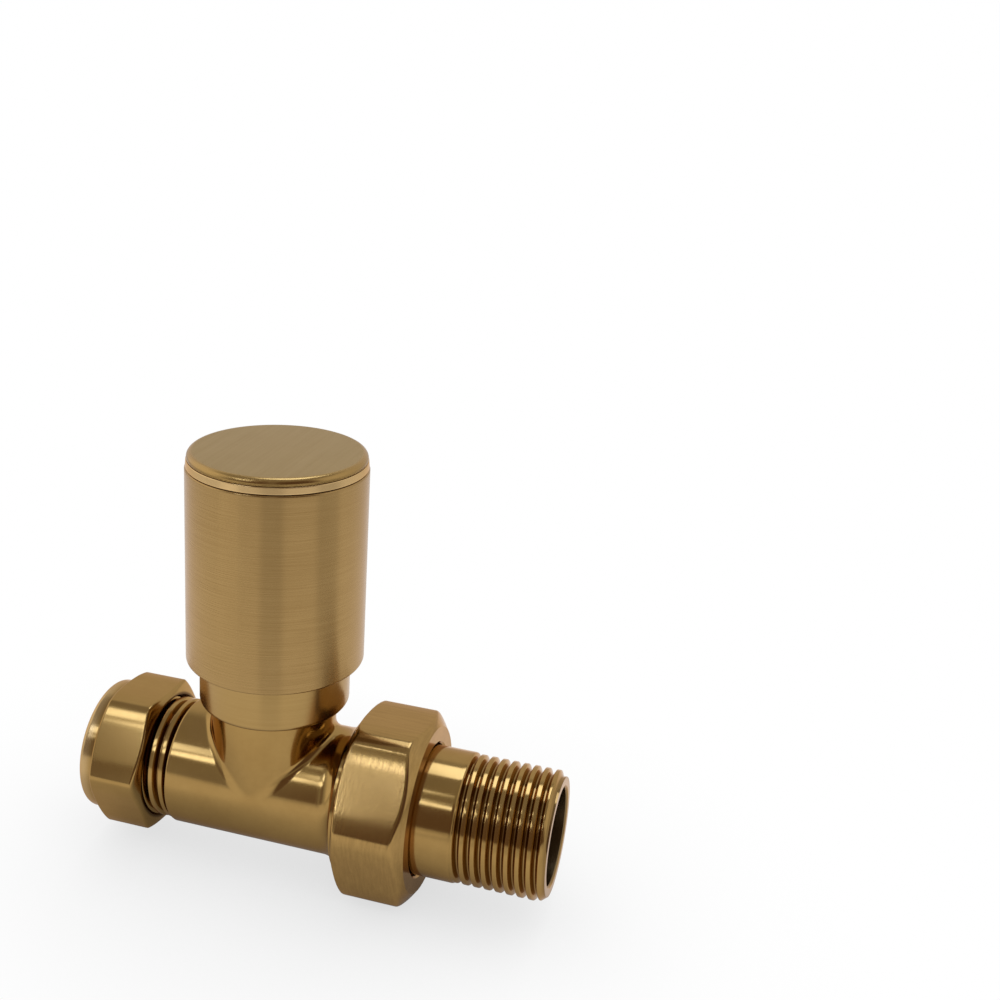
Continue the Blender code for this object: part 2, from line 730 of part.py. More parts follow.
def make_spindle():
    # Rising spindle that turns with the plug it is fixed in.
    radius = SPINDLE_DIAMETER / 2
    lower, upper = seal_heights()
    outline = [(0, spindle_top), (radius, spindle_top)]
    outline += groove(radius, upper) + groove(radius, lower)
    outline += [(radius, spindle_tip), (0, spindle_tip)]
    spindle = turned("spindle", outline)
    key_bottom = spindle_top - SPINDLE_KEY_LENGTH
    half = SPINDLE_KEY_SQUARE / 2
    for side in range(4):
        flat = block(
            "spindle_flat_%d" % side,
            (half, -SPINDLE_DIAMETER, key_bottom),
            (SPINDLE_DIAMETER, SPINDLE_DIAMETER, spindle_top + CUT_OVERRUN),
        )
        flat.rotation_euler.z = HALF_TURN / 2 * side
        cut(spindle, flat)
    raw_brass(spindle)
    make_seal_ring("spindle_o_ring_lower", radius, lower)
    make_seal_ring("spindle_o_ring_upper", radius, upper)


def make_gland_washer():
    bottom = gland_ledge + CLEARANCE
    outer = GLAND_BORE / 2 - CLEARANCE
    plastic(ring("gland_washer", outer, spindle_hole, bottom, bottom + GLAND_WASHER_HEIGHT))


def make_valve_plug():
    bore_bottom = plug_bottom + PLUG_BASE
    screw_hole = WASHER_SCREW_SHANK / 2 + CLEARANCE
    outline = [(spindle_hole, plug_top), (plug_radius, plug_top), (plug_radius, plug_bottom)]
    outline += [(screw_hole, plug_bottom), (screw_hole, bore_bottom), (spindle_hole, bore_bottom)]
    raw_brass(turned("valve_plug", outline))


def make_seat_washer():
    hole = WASHER_SCREW_SHANK / 2 + CLEARANCE
    top = washer_bottom + SEAT_WASHER_HEIGHT
    rubber(ring("seat_washer", seat_washer_radius, hole, washer_bottom, top))


def make_washer_screw():
    head = WASHER_SCREW_HEAD / 2
    shank = WASHER_SCREW_SHANK / 2
    head_top = washer_bottom - CLEARANCE
    head_bottom = head_top - WASHER_SCREW_HEAD_HEIGHT
    tip = plug_bottom + PLUG_BASE - CLEARANCE
    outline = [(0, tip), (shank, tip), (shank, head_top), (head, head_top)]
    outline += [(head, head_bottom), (0, head_bottom)]
    screw = turned("washer_screw", outline)
    slot = block(
        "washer_screw_slot",
        (-WASHER_SCREW_HEAD, -SCREW_SLOT_WIDTH / 2, head_bottom - CUT_OVERRUN),
        (WASHER_SCREW_HEAD, SCREW_SLOT_WIDTH / 2, head_bottom + WASHER_SCREW_HEAD_HEIGHT / 2),
    )
    cut(screw, slot)
    raw_brass(screw)


def make_cap_sleeve():
    outer = CAP_DIAMETER / 2
    edge = CAP_EDGE_ROUND
    outline = arc((outer - edge, sleeve_top - edge), edge, 90, 0)
    outline += arc((outer - edge, cap_bottom + edge), edge, 0, -90)
    outline += [(cap_bore_radius, cap_bottom), (cap_bore_radius, sleeve_top)]
    brushed_brass(turned("cap_sleeve", outline, LARGE_SIDES))


def make_cap_trim_ring():
    outer = CAP_DIAMETER / 2
    outline = [(outer - TRIM_RING_TAPER, trim_top), (outer, trim_bottom)]
    outline += [(trim_spigot_radius, trim_bottom), (trim_spigot_radius, trim_spigot_bottom)]
    outline += [(trim_bore_radius, trim_spigot_bottom), (trim_bore_radius, trim_top)]
    polished_brass(turned("cap_trim_ring", outline, LARGE_SIDES))


def make_cap_top_disc():
    outer = CAP_DIAMETER / 2 - TRIM_RING_TAPER
    edge = (outer - TOP_DISC_ROUND, disc_top - TOP_DISC_ROUND)
    outline = [(0, disc_top)] + arc(edge, TOP_DISC_ROUND, 90, 0)
    outline += [(outer, disc_bottom), (disc_spigot_radius, disc_bottom)]
    outline += [(disc_spigot_radius, trim_spigot_bottom), (0, trim_spigot_bottom)]
    brushed_brass(turned("cap_top_disc", outline, LARGE_SIDES))


def make_cap_insert():
    ceiling = insert_top - INSERT_TOP_WALL
    outline = [(0, insert_top), (insert_radius, insert_top), (insert_radius, insert_bottom)]
    outline += [(insert_bore_radius, insert_bottom), (insert_bore_radius, ceiling), (0, ceiling)]
    plastic(turned("cap_insert", outline, LARGE_SIDES))


def main():
    clear_scene()
    make_valve_body()
    make_olive()
    make_compression_nut()
    make_union_gasket()
    make_union_tail()
    make_union_nut()
    make_collar()
    make_bonnet()
    make_seal_ring("bonnet_o_ring", bonnet_skirt_radius, collar_bottom - O_RING_SECTION)
    make_gland_nut()
    make_gland_washer()
    make_spindle()
    make_valve_plug()
    make_seat_washer()
    make_washer_screw()
    make_cap_sleeve()
    make_cap_trim_ring()
    make_cap_top_disc()
    make_cap_insert()


main()
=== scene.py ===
# Straight lockshield valve in brass: fine shapes, finishes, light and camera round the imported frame
import math

import bmesh
import bpy
from mathutils import Matrix, Vector


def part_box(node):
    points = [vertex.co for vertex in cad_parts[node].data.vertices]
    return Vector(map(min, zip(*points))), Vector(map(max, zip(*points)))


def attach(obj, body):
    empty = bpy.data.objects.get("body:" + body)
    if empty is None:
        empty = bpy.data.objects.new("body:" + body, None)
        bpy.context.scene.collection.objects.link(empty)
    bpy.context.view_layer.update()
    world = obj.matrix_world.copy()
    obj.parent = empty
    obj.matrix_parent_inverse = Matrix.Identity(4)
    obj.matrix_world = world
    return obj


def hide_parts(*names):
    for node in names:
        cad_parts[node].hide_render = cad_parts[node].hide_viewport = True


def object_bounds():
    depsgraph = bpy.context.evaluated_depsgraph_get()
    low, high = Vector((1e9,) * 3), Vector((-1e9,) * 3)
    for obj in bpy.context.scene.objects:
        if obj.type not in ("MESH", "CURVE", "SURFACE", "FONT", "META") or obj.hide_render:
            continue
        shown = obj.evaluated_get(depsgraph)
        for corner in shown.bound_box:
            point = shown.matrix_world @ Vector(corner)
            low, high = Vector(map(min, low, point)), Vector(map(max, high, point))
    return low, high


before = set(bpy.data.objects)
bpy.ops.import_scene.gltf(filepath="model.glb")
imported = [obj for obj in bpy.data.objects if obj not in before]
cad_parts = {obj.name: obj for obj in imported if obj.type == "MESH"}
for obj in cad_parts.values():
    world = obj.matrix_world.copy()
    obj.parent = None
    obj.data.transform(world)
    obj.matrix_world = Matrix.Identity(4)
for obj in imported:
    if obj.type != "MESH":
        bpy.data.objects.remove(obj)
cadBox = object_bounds()
print("frame loaded with", len(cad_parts), "nodes")

mm = 0.001  # shapes are drawn in millimetres and placed in metres
fullTurn = 2 * math.pi
mergeGap = 0.0005 * mm
bumpDepth = 0.02 * mm


# "pipe" is the X axis, with angles from +Y to +Z; "spindle" is the Z axis, with angles from +X to +Y
def spot(axis, radius, angle, height):
    across, up = radius * math.cos(angle) * mm, radius * math.sin(angle) * mm
    return (height * mm, across, up) if axis == "pipe" else (across, up, height * mm)


def reach(node):
    low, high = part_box(node)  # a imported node's corners, in millimetres
    return [c / mm for c in low], [c / mm for c in high]


def evenAngles(sides):
    return [fullTurn * i / sides for i in range(sides)]


def ringOf(bm, axis, radius, height, angles):
    if radius == 0:
        return [bm.verts.new(spot(axis, 0, 0, height))]
    size = radius if callable(radius) else lambda angle: radius
    return [bm.verts.new(spot(axis, size(a), a, height)) for a in angles]


def bridge(bm, low, high):
    count = max(len(low), len(high))
    for i in range(count):
        j = (i + 1) % count
        corners = [low[i % len(low)], low[j % len(low)], high[j % len(high)], high[i % len(high)]]
        bm.faces.new(list(dict.fromkeys(corners)))  # a ring of one vertex gives triangles


def strip(bm, low, high):
    for i in range(len(low) - 1):
        bm.faces.new((low[i], low[i + 1], high[i + 1], high[i]))


def lathe(bm, outline, angles, axis="spindle", closed=True):
    rings = [ringOf(bm, axis, radius, height, angles) for radius, height in outline]
    for low, high in zip(rings, rings[1:]):
        bridge(bm, low, high)
    if closed:
        bridge(bm, rings[-1], rings[0])
    return rings


def softOutline(corners, steps=6, rest=0.12):
    # rounds each (radius, height, rounding) corner, and keeps the shading of long sides with a point near each arc
    points = []
    for i, (radius, height, rounding) in enumerate(corners):
        here = Vector((radius, height))
        if rounding == 0:
            points.append((radius, height))
            continue
        before = (Vector(corners[i - 1][:2]) - here).normalized()
        after = (Vector(corners[(i + 1) % len(corners)][:2]) - here).normalized()
        half = before.angle(after) / 2
        run = rounding / math.tan(half)
        centre = here + (before + after).normalized() * rounding / math.sin(half)
        first, last = here + before * run - centre, here + after * run - centre
        points.append(tuple(here + before * (run + rest)))
        for step in range(steps + 1):
            points.append(tuple(centre + first.slerp(last, step / steps) * rounding))
        points.append(tuple(here + after * (run + rest)))
    return points


def softMin(a, b, softness):
    overlap = max(softness - abs(a - b), 0) / softness
    return min(a, b) - overlap * overlap * softness / 4


def smooth(value):
    value = min(max(value, 0), 1)
    return value * value * (3 - 2 * value)


def hexRadius(flats, cornerAt, softness, roll=0.0, rollAngle=0.0):
    # distance from the axis to a hexagon with soft corners, its flats rolled off over a width beside each corner
    halfSide = flats / 2 / math.sqrt(3)
    bend = math.tan(math.radians(rollAngle)) / 2 / roll if roll else 0.0

    def side(off):
        past = min(max(flats / 2 * math.tan(off) - halfSide + roll, 0), roll + 1)
        return flats / 2 / math.cos(off) - bend * past * past

    def distance(angle):
        off = abs((angle - math.radians(cornerAt)) % (fullTurn / 6) - fullTurn / 12)
        return softMin(side(off), side(fullTurn / 6 - off), softness)
    return distance


def hexAngles(cornerAt, perFlat=28):
    # crowded towards the corners
    angles = []
    for flat in range(6):
        for i in range(perFlat):
            share = 2 * i / perFlat - 1
            off = math.copysign(1 - (1 - abs(share)) ** 1.5, share) * fullTurn / 12
            angles.append(math.radians(cornerAt) + fullTurn / 12 + flat * fullTurn / 6 + off)
    return angles


def hexRows(hexagon, outline, softness):
    # an outline of (radius, height) cut back to the hexagon, with a soft meeting line
    return [(lambda angle, limit=radius: softMin(hexagon(angle), limit, softness), height)
            for radius, height in outline]


def between(first, last, steps):
    return [tuple(a + (b - a) * i / steps for a, b in zip(first, last)) for i in range(steps + 1)]


def threadStrip(bm, cut, base, start, end, angles):
    # helical rows on the pipe axis, rising from the base radius, that fade to a start level and to the base at the end
    low, high = min(start, end), max(start, end)
    rows = cut["rows"]
    last = rows * (math.ceil((high - low) / cut["pitch"]) + 1)
    lines = []
    for k in range(last + 1):
        ridge = smooth((1 - abs(2 * (k % rows) / rows - 1) - cut["valley"]) / (1 - cut["valley"] - cut["crest"]))
        line = []
        for angle in angles:
            x = low + cut["pitch"] * (k / rows + (angle - angles[0]) / fullTurn - 1)
            x = min(max(x, low), high)
            level = cut.get("startLevel", 0.0)
            level += (ridge - level) * min(1, abs(x - start) / cut["startFade"])
            level *= min(1, abs(x - end) / cut["endFade"])
            line.append(bm.verts.new(spot("pipe", base + cut["depth"] * level, angle, x)))
        lines.append(line)
    for k in range(last):
        strip(bm, lines[k], lines[k + 1])
        if k + rows + 1 <= last:
            bm.faces.new((lines[k][-1], lines[k + rows][0], lines[k + rows + 1][0], lines[k + 1][-1]))


def addPiece(name, bm, node, body, material, sharpest=32):
    # closes the seams, sets smooth and sharp edges and puts the piece in its node's place
    bmesh.ops.remove_doubles(bm, verts=bm.verts, dist=mergeGap)
    bmesh.ops.dissolve_degenerate(bm, edges=bm.edges, dist=mergeGap / 10)
    bmesh.ops.recalc_face_normals(bm, faces=bm.faces)
    for face in bm.faces:
        face.smooth = True
    for edge in bm.edges:
        edge.smooth = edge.calc_face_angle(0) < math.radians(sharpest)
    mesh = bpy.data.meshes.new(name)
    bm.to_mesh(mesh)
    bm.free()
    mesh.materials.append(material)
    piece = bpy.data.objects.new(name, mesh)
    bpy.context.scene.collection.objects.link(piece)
    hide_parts(node)
    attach(piece, body)
    print("made", name, len(mesh.polygons), "faces")
    return piece


class Wire:
    # a shader socket that takes Python operators
    def __init__(self, tree, socket=None):
        self.tree, self.socket = tree, socket

    def node(self, kind, settings=None, sockets=None, out=0):
        made = self.tree.nodes.new(kind)
        for key, value in (settings or {}).items():
            setattr(made, key, value)
        for key, value in (sockets or {}).items():
            if isinstance(value, Wire):
                self.tree.links.new(value.socket, made.inputs[key])
            else:
                made.inputs[key].default_value = value
        return Wire(self.tree, made.outputs[out])

    def maths(self, operation, first, second=0.0):
        return self.node("ShaderNodeMath", {"operation": operation}, {0: first, 1: second})

    def __add__(self, other):
        return self.maths("ADD", self, other)

    def __sub__(self, other):
        return self.maths("SUBTRACT", self, other)

    def __rsub__(self, other):
        return self.maths("SUBTRACT", other, self)

    def __mul__(self, other):
        return self.maths("MULTIPLY", self, other)

    def __truediv__(self, other):
        return self.maths("DIVIDE", self, other)

    def __abs__(self):
        return self.maths("ABSOLUTE", self)

    __radd__ = __add__
    __rmul__ = __mul__

    def ease(self, low, high):
        # 0 below low and 1 above high, or the other way round
        return self.node("ShaderNodeMapRange", {"interpolation_type": "SMOOTHSTEP"}, {0: self, 1: low, 2: high})

    def stretched(self, scale):
        return self.node("ShaderNodeVectorMath", {"operation": "MULTIPLY"}, {0: self, 1: scale})

    def dot(self, direction):
        return self.node("ShaderNodeVectorMath", {"operation": "DOT_PRODUCT"}, {0: self, 1: direction}, out=1)

    def length(self):
        return self.node("ShaderNodeVectorMath", {"operation": "LENGTH"}, {0: self}, out=1)

    def noise(self, scale, detail=3.0, roughness=0.55):
        return self.node("ShaderNodeTexNoise", None,
                         {"Vector": self, "Scale": scale, "Detail": detail, "Roughness": roughness})

    def blend(self, first, second):
        # colours mixed by this value
        return self.node("ShaderNodeMix", {"data_type": "RGBA"}, {0: self, 6: first, 7: second}, out=2)

    def bump(self, strength, distance):
        return self.node("ShaderNodeBump", None, {"Strength": strength, "Distance": distance, "Height": self})


def startMaterial(name):
    material = bpy.data.materials.new(name)
    material.use_nodes = True
    tree = material.node_tree
    shader = tree.nodes["Principled BSDF"]
    return material, shader, Wire(tree).node("ShaderNodeTexCoord", out="Object")


def feed(shader, socket, wire):
    wire.tree.links.new(wire.socket, shader.inputs[socket])


def rgba(colour):
    return (*colour, 1.0)


def brassFinish(name, look):
    # plated brass: brush lines or polish, a faint cloud of tarnish, dirt and painted shade in low places and a paler,
    # rougher end
    material, shader, place = startMaterial(name)
    lines = place.stretched(look["lines"]).noise(1.0, 2.0, 0.6)
    if "topLines" in look:  # faces that look up are brushed the other way
        upward = place.node("ShaderNodeTexCoord", out="Normal").dot((0, 0, 1)).ease(0.8, 0.92)
        lines = lines * (1 - upward) + place.stretched(look["topLines"]).noise(1.0, 2.0, 0.6) * upward
    cloud = place.noise(look["cloud"], 3.0, 0.6)
    tone = (lines * look["lineShade"] + cloud * look["cloudShade"]).ease(0.15, 0.85)
    colour = tone.blend(rgba(look["colour"]), rgba(look["shade"]))
    rough = look["roughness"] + (lines - 0.5) * look["lineRough"] + (cloud - 0.5) * look["cloudRough"]
    # low places such as thread valleys and pockets turn darker: partly dirt, partly painted shade
    if "dirtShadeBelow" in look:
        across = place.stretched((0, 1, 1)).length() / mm
        dirtAndShade = across.ease(look["dirtShadeBelow"] + look["dirtShadeFade"], look["dirtShadeBelow"])
        dirtAndShade = dirtAndShade * across.ease(look["dirtShadeFloor"], look["dirtShadeFloor"] + 0.2) * look["dirtShadeAmount"]
        colour = dirtAndShade.blend(colour, rgba(look["dirtAndShade"]))
    if "innerBelow" in look:  # painted shade inside the bore: a darker colour with a rougher finish
        inside = (place.stretched((0, 1, 1)).length() / mm).ease(look["innerBelow"], look["innerBelow"] - 0.1)
        colour = inside.blend(colour, rgba(look["inner"]))
        rough = rough + inside * look["innerRough"]
    # a paler, rougher stretch along the pipe axis
    if "paleFrom" in look:
        pale = (place.dot((1, 0, 0)) / mm).ease(look["paleFrom"], look["paleTo"])
        colour = pale.blend(colour, rgba(look["pale"]))
        rough = rough + pale * look["paleRough"]
    feed(shader, "Base Color", colour)
    feed(shader, "Roughness", rough)
    feed(shader, "Normal", (lines * look["lineDepth"] + cloud * look["cloudDepth"]).bump(look["bump"], bumpDepth))
    shader.inputs["Metallic"].default_value = 1.0
    shader.inputs["Specular Tint"].default_value = rgba(look["edgeTint"])
    shader.inputs["Anisotropic"].default_value = look["anisotropic"]
    shader.inputs["Anisotropic Rotation"].default_value = look["rotation"]
    return material


polish = {  # the edge tint keeps brass warm at a glancing angle
    "colour": (0.385, 0.238, 0.080), "shade": (0.335, 0.200, 0.064), "edgeTint": (0.95, 0.77, 0.64),
    "lines": (900, 900, 900), "cloud": 160, "lineShade": 0.3, "cloudShade": 0.7,
    "roughness": 0.13, "lineRough": 0.02, "cloudRough": 0.06,
    "lineDepth": 0.3, "cloudDepth": 0.6, "bump": 0.05, "anisotropic": 0.0, "rotation": 0.0,
}
brush = {**polish,
    "colour": (0.430, 0.276, 0.110), "shade": (0.355, 0.217, 0.079), "edgeTint": (1.0, 0.92, 0.88),
    "lines": (70, 70, 9000), "cloud": 120, "lineShade": 0.75, "cloudShade": 0.25,
    "roughness": 0.27, "lineRough": 0.10, "cloudRough": 0.04,
    "lineDepth": 1.0, "cloudDepth": 0.0, "bump": 0.09, "anisotropic": 0.85, "rotation": 0.25,
}
turnedRaw = {**polish,
    "colour": (0.56, 0.40, 0.17), "shade": (0.42, 0.28, 0.10),
    "lines": (160, 160, 7000), "roughness": 0.34, "lineRough": 0.14, "lineShade": 0.6, "cloudShade": 0.4,
    "bump": 0.14,
}


def softFinish(name, look):
    # rubber, plastic and fibre: mottled colour with a fine grain
    material, shader, place = startMaterial(name)
    grain = place.noise(look["grain"], 4.0, 0.65)
    cloud = place.noise(look["grain"] / 9, 2.0, 0.5)
    tone = (grain * 0.5 + cloud * 0.5).ease(0.3, 0.7)
    feed(shader, "Base Color", tone.blend(rgba(look["colour"]), rgba(look["shade"])))
    feed(shader, "Roughness", look["roughness"] + (grain - 0.5) * 0.15)
    feed(shader, "Normal", grain.bump(look["bump"], 0.03 * mm))
    shader.inputs["Metallic"].default_value = 0.0
    return material


rubberLook = {"colour": (0.022, 0.022, 0.023), "shade": (0.012, 0.012, 0.012),
              "grain": 2600, "roughness": 0.6, "bump": 0.2}
plasticLook = {"colour": (0.66, 0.64, 0.58), "shade": (0.58, 0.56, 0.50),
               "grain": 1800, "roughness": 0.45, "bump": 0.08}
fibreLook = {"colour": (0.24, 0.085, 0.060), "shade": (0.15, 0.050, 0.036),
             "grain": 3200, "roughness": 0.8, "bump": 0.4}


sleeve = {"wall": 1.2, "topRound": 0.28, "bottomRound": 0.35, "boreRound": 0.2, "sides": 224}


def makeSleeve():
    low, high = reach("cap_sleeve")
    radius, bore = high[0], high[0] - sleeve["wall"]
    bm = bmesh.new()
    outline = [(radius, high[2], sleeve["topRound"]), (radius, low[2], sleeve["bottomRound"])]
    outline += [(bore, low[2], sleeve["boreRound"]), (bore, high[2], sleeve["boreRound"])]
    lathe(bm, softOutline(outline), evenAngles(sleeve["sides"]))
    addPiece("capSleeve", bm, "cap_sleeve", "cap_body", brassFinish("brushedSleeve", brush))


trim = {"seam": 0.11, "taper": 0.12, "inset": 0.1, "edgeRound": 0.12, "spigotStep": 1.5, "bore": 11.2, "sides": 224}


def makeTrimRing():
    low, high = reach("cap_trim_ring")
    bottom = reach("cap_sleeve")[1][2] + trim["seam"]
    top = discBottom() - trim["seam"] / 2
    spigot = high[0] - trim["spigotStep"]
    bm = bmesh.new()
    edge = high[0] - trim["inset"]
    outline = [(edge - trim["taper"], top, trim["edgeRound"]), (edge, bottom, trim["edgeRound"])]
    outline += [(spigot, bottom, 0), (spigot, low[2], 0.2), (trim["bore"], low[2], 0.2), (trim["bore"], top, 0)]
    lathe(bm, softOutline(outline), evenAngles(trim["sides"]))
    # a pale brass colour that partly paints the bright reflection the band shows
    look = {**polish, "colour": (0.70, 0.475, 0.22), "shade": (0.64, 0.43, 0.195), "roughness": 0.2}
    addPiece("capTrimRing", bm, "cap_trim_ring", "cap_body", brassFinish("trimBrass", look))


disc = {"thickness": 1.2, "edgeRound": 0.95, "underRound": 0.12, "spigot": 10.7, "sides": 224,
        "colour": (0.366, 0.252, 0.092), "shade": (0.334, 0.226, 0.078), "lines": (1600, 60, 60),
        "lineShade": 0.45, "cloudShade": 0.55, "roughness": 0.36, "lineRough": 0.10, "edgeRough": 0.24, "bump": 0.10}


def discBottom():
    return reach("cap_top_disc")[1][2] - disc["thickness"]


def makeTopDisc():
    low, high = reach("cap_top_disc")
    radius, top = high[0], high[2]
    bm = bmesh.new()
    outline = [(0, top, 0), (radius, top, disc["edgeRound"]), (radius, discBottom(), disc["underRound"])]
    outline += [(disc["spigot"], discBottom(), 0), (disc["spigot"], low[2], 0.2), (0, low[2], 0)]
    lathe(bm, softOutline(outline, steps=10), evenAngles(disc["sides"]), closed=False)
    addPiece("capTopDisc", bm, "cap_top_disc", "cap_body", discFinish())


def discFinish():
    # satin top that turns to polish on the rounded edge
    material, shader, place = startMaterial("satinDisc")
    lines = place.stretched(disc["lines"]).noise(1.0, 2.0, 0.6)
    cloud = place.noise(brush["cloud"], 3.0, 0.6)
    radius = reach("cap_top_disc")[1][0]
    edge = (place.stretched((1, 1, 0)).length() / mm).ease(radius - disc["edgeRound"] - 0.15, radius - 0.55)
    tone = (lines * disc["lineShade"] + cloud * disc["cloudShade"]).ease(0.2, 0.8)
    satin = tone.blend(rgba(disc["colour"]), rgba(disc["shade"]))
    rough = (disc["roughness"] + (lines - 0.5) * disc["lineRough"]) * (1 - edge) + edge * disc["edgeRough"]
    feed(shader, "Base Color", edge.blend(satin, rgba(polish["colour"])))
    feed(shader, "Roughness", rough)
    feed(shader, "Normal", (lines * (1 - edge)).bump(disc["bump"], bumpDepth))
    shader.inputs["Metallic"].default_value = 1.0
    shader.inputs["Specular Tint"].default_value = rgba(brush["edgeTint"])
    return material


insert = {"wall": 1.93, "ceiling": 2.0, "ribs": 12, "ribHeight": 0.22, "edgeRound": 0.35}


def makeInsert():
    # plastic cup with shallow ribs inside that grip the bonnet
    low, high = reach("cap_insert")
    outer, bore, ceiling = high[0], high[0] - insert["wall"], high[2] - insert["ceiling"]

    def ribbed(angle):
        return bore - insert["ribHeight"] * smooth(4 * math.cos(angle * insert["ribs"]) - 3)

    bm = bmesh.new()
    outline = [(0, high[2], 0), (outer, high[2], insert["edgeRound"]), (outer, low[2], insert["edgeRound"])]
    outline += [(bore, low[2], insert["edgeRound"])]
    rows = softOutline(outline + [(bore, ceiling, 0), (0, ceiling, 0)])[:-2]
    rows += [(ribbed, low[2] + 1.2), (ribbed, ceiling - 0.6), (bore, ceiling), (0, ceiling)]
    lathe(bm, rows, evenAngles(240), closed=False)
    addPiece("capInsert", bm, "cap_insert", "cap_body", softFinish("insertPlastic", plasticLook))


collar = {"bottomRound": 0.7, "topRound": 0.25, "bore": 9.3, "sides": 208}


def makeCollar():
    low, high = reach("collar")
    bm = bmesh.new()
    outline = [(high[0], high[2], collar["topRound"]), (high[0], low[2], collar["bottomRound"])]
    outline += [(collar["bore"], low[2], 0.15), (collar["bore"], high[2], 0.15)]
    lathe(bm, softOutline(outline), evenAngles(collar["sides"]))
    look = {**brush, "colour": (0.40, 0.255, 0.094), "shade": (0.35, 0.215, 0.072), "lines": (60, 60, 4200),
            "roughness": 0.22, "lineRough": 0.05, "bump": 0.03, "lineShade": 0.5, "anisotropic": 0.3}
    addPiece("collarRing", bm, "collar", "valve", brassFinish("satinCollar", look))


bonnet = {"shank": 9.0, "skirt": 8.2, "neckTop": 15.3, "flats": 19.0, "hexHeight": 4.3, "hexChamfer": 0.7,
          "gland": 5.3, "ledge": 21.0, "spindleHole": 3.3, "guide": 6.35, "ceiling": 19.4,
          "groove": 7.1, "grooveLow": 12.56, "grooveHigh": 14.2, "softness": 0.3}


def makeBonnet():
    low, high = reach("bonnet")
    hexBottom, top = high[2] - bonnet["hexHeight"], high[2]
    hexagon = hexRadius(bonnet["flats"], 0, bonnet["softness"])
    corner = bonnet["flats"] / math.sqrt(3) + 0.2
    cut = bonnet["hexChamfer"]
    shape = between((corner, hexBottom), (corner, top - cut), 4)
    shape += between((corner, top - cut), (corner - 1.9, top), 5)[1:]
    bm = bmesh.new()
    # gland bore, spindle hole and plug guide, then the skirt with its seal groove
    inside = [(bonnet["gland"], top), (bonnet["gland"], bonnet["ledge"]), (bonnet["spindleHole"], bonnet["ledge"])]
    inside += [(bonnet["spindleHole"], bonnet["ceiling"]), (bonnet["guide"], bonnet["ceiling"])]
    lower = [(bonnet["guide"], low[2]), (bonnet["skirt"], low[2]), (bonnet["skirt"], bonnet["grooveLow"])]
    lower += [(bonnet["groove"], bonnet["grooveLow"]), (bonnet["groove"], bonnet["grooveHigh"])]
    lower += [(bonnet["skirt"], bonnet["grooveHigh"]), (bonnet["skirt"], bonnet["neckTop"] + 0.3)]
    lower += [(bonnet["shank"], bonnet["neckTop"] + 0.3), (bonnet["shank"], hexBottom)]
    lathe(bm, lower + hexRows(hexagon, shape, 0.3) + inside, hexAngles(0))
    addPiece("bonnetHex", bm, "bonnet", "valve", brassFinish("bonnetBrass", turnedRaw))


gland = {"flats": 11.0, "headHeight": 3.2, "shank": 5.0, "hole": 3.3, "chamfer": 0.5, "softness": 0.2}


def makeGlandNut():
    low, high = reach("gland_nut")
    headBottom, top = high[2] - gland["headHeight"], high[2]
    corner = gland["flats"] / math.sqrt(3) + 0.1
    cut = gland["chamfer"]
    shape = between((corner, headBottom), (corner, top - cut), 3)
    shape += between((corner, top - cut), (corner - 1.2, top), 4)[1:]
    rows = hexRows(hexRadius(gland["flats"], 0, gland["softness"]), shape, 0.2)
    rows += [(gland["hole"] + 0.3, top), (gland["hole"], top - 0.3), (gland["hole"], low[2])]
    rows += [(gland["shank"], low[2]), (gland["shank"], headBottom)]
    bm = bmesh.new()
    lathe(bm, rows, hexAngles(0))
    addPiece("glandNut", bm, "gland_nut", "valve", brassFinish("glandBrass", turnedRaw))


spindle = {"radius": 3.0, "square": 4.6, "squareLength": 8.0, "tipChamfer": 0.5, "corner": 0.25,
           "groove": 1.9, "grooves": [(23.41, 25.05), (26.06, 27.7)]}


def makeSpindle():
    # round stem with a square key end
    low, high = reach("spindle")
    top, shoulder = high[2], high[2] - spindle["squareLength"]

    def squared(angle, limit):
        off = angle % (fullTurn / 4) - fullTurn / 8
        flat, eighth = spindle["square"] / 2, fullTurn / 8
        side = softMin(flat / math.cos(eighth - abs(off)), flat / math.cos(eighth + abs(off)), spindle["corner"])
        return softMin(side, limit, 0.15)

    def square(limit):
        return lambda angle: squared(angle, limit)

    stem, cut = spindle["radius"], spindle["tipChamfer"]
    rows = [(0, low[2]), (stem - 0.3, low[2]), (stem, low[2] + 0.3)]
    for bottom, brim in spindle["grooves"]:
        rows += [(stem, bottom), (spindle["groove"], bottom), (spindle["groove"], brim), (stem, brim)]
    rows += [(stem, shoulder - 0.05), (stem, shoulder)]
    rows += [(square(stem), shoulder + 0.02), (square(stem), shoulder + 0.4), (square(stem), top - cut - 0.1)]
    rows += [(square(stem), top - cut), (square(stem - cut), top), (0, top)]
    bm = bmesh.new()
    lathe(bm, rows, evenAngles(96), closed=False)
    addPiece("spindleStem", bm, "spindle", "spindle_body", brassFinish("spindleBrass", turnedRaw))


body = {
    "tube": 10.65, "neck": 10.42, "neckTop": 15.3, "crossingSteps": 72, "underSteps": 80,
    "filletLow": 1.2, "filletTop": 1.6, "filletTip": 6.0, "filletSteps": 8,
    "inletEnd": -15.4, "flareStart": 11.9, "flareEnd": 14.9, "shoulder": 12.8, "land": 15.5, "passage": 7.0,
    "chamber": 8.5, "chamberFloor": 1.2, "seatLip": 5.0, "seatTop": 2.0, "seatBore": 4.0, "seatEnd": -4.3,
}
inlet = {"root": 9.2, "bore": 7.65, "mouth": 8.6, "mouthDepth": 1.9, "boreEnd": -11.9,
         "hole": 4.1, "holeHeight": -4.3}
inletThread = {"pitch": 1.814, "depth": 1.0, "rows": 16, "valley": 0.08, "crest": 0.35,
               "startFade": 0.5, "endFade": 1.0}
spigot = {"root": 11.6, "bore": 8.0, "boreEnd": 18.3, "hole": 3.8, "holeHeight": 4.2}
spigotThread = {"pitch": 1.5, "depth": 1.0, "rows": 12, "valley": 0.1, "crest": 0.25,
                "startFade": 0.8, "endFade": 1.0}


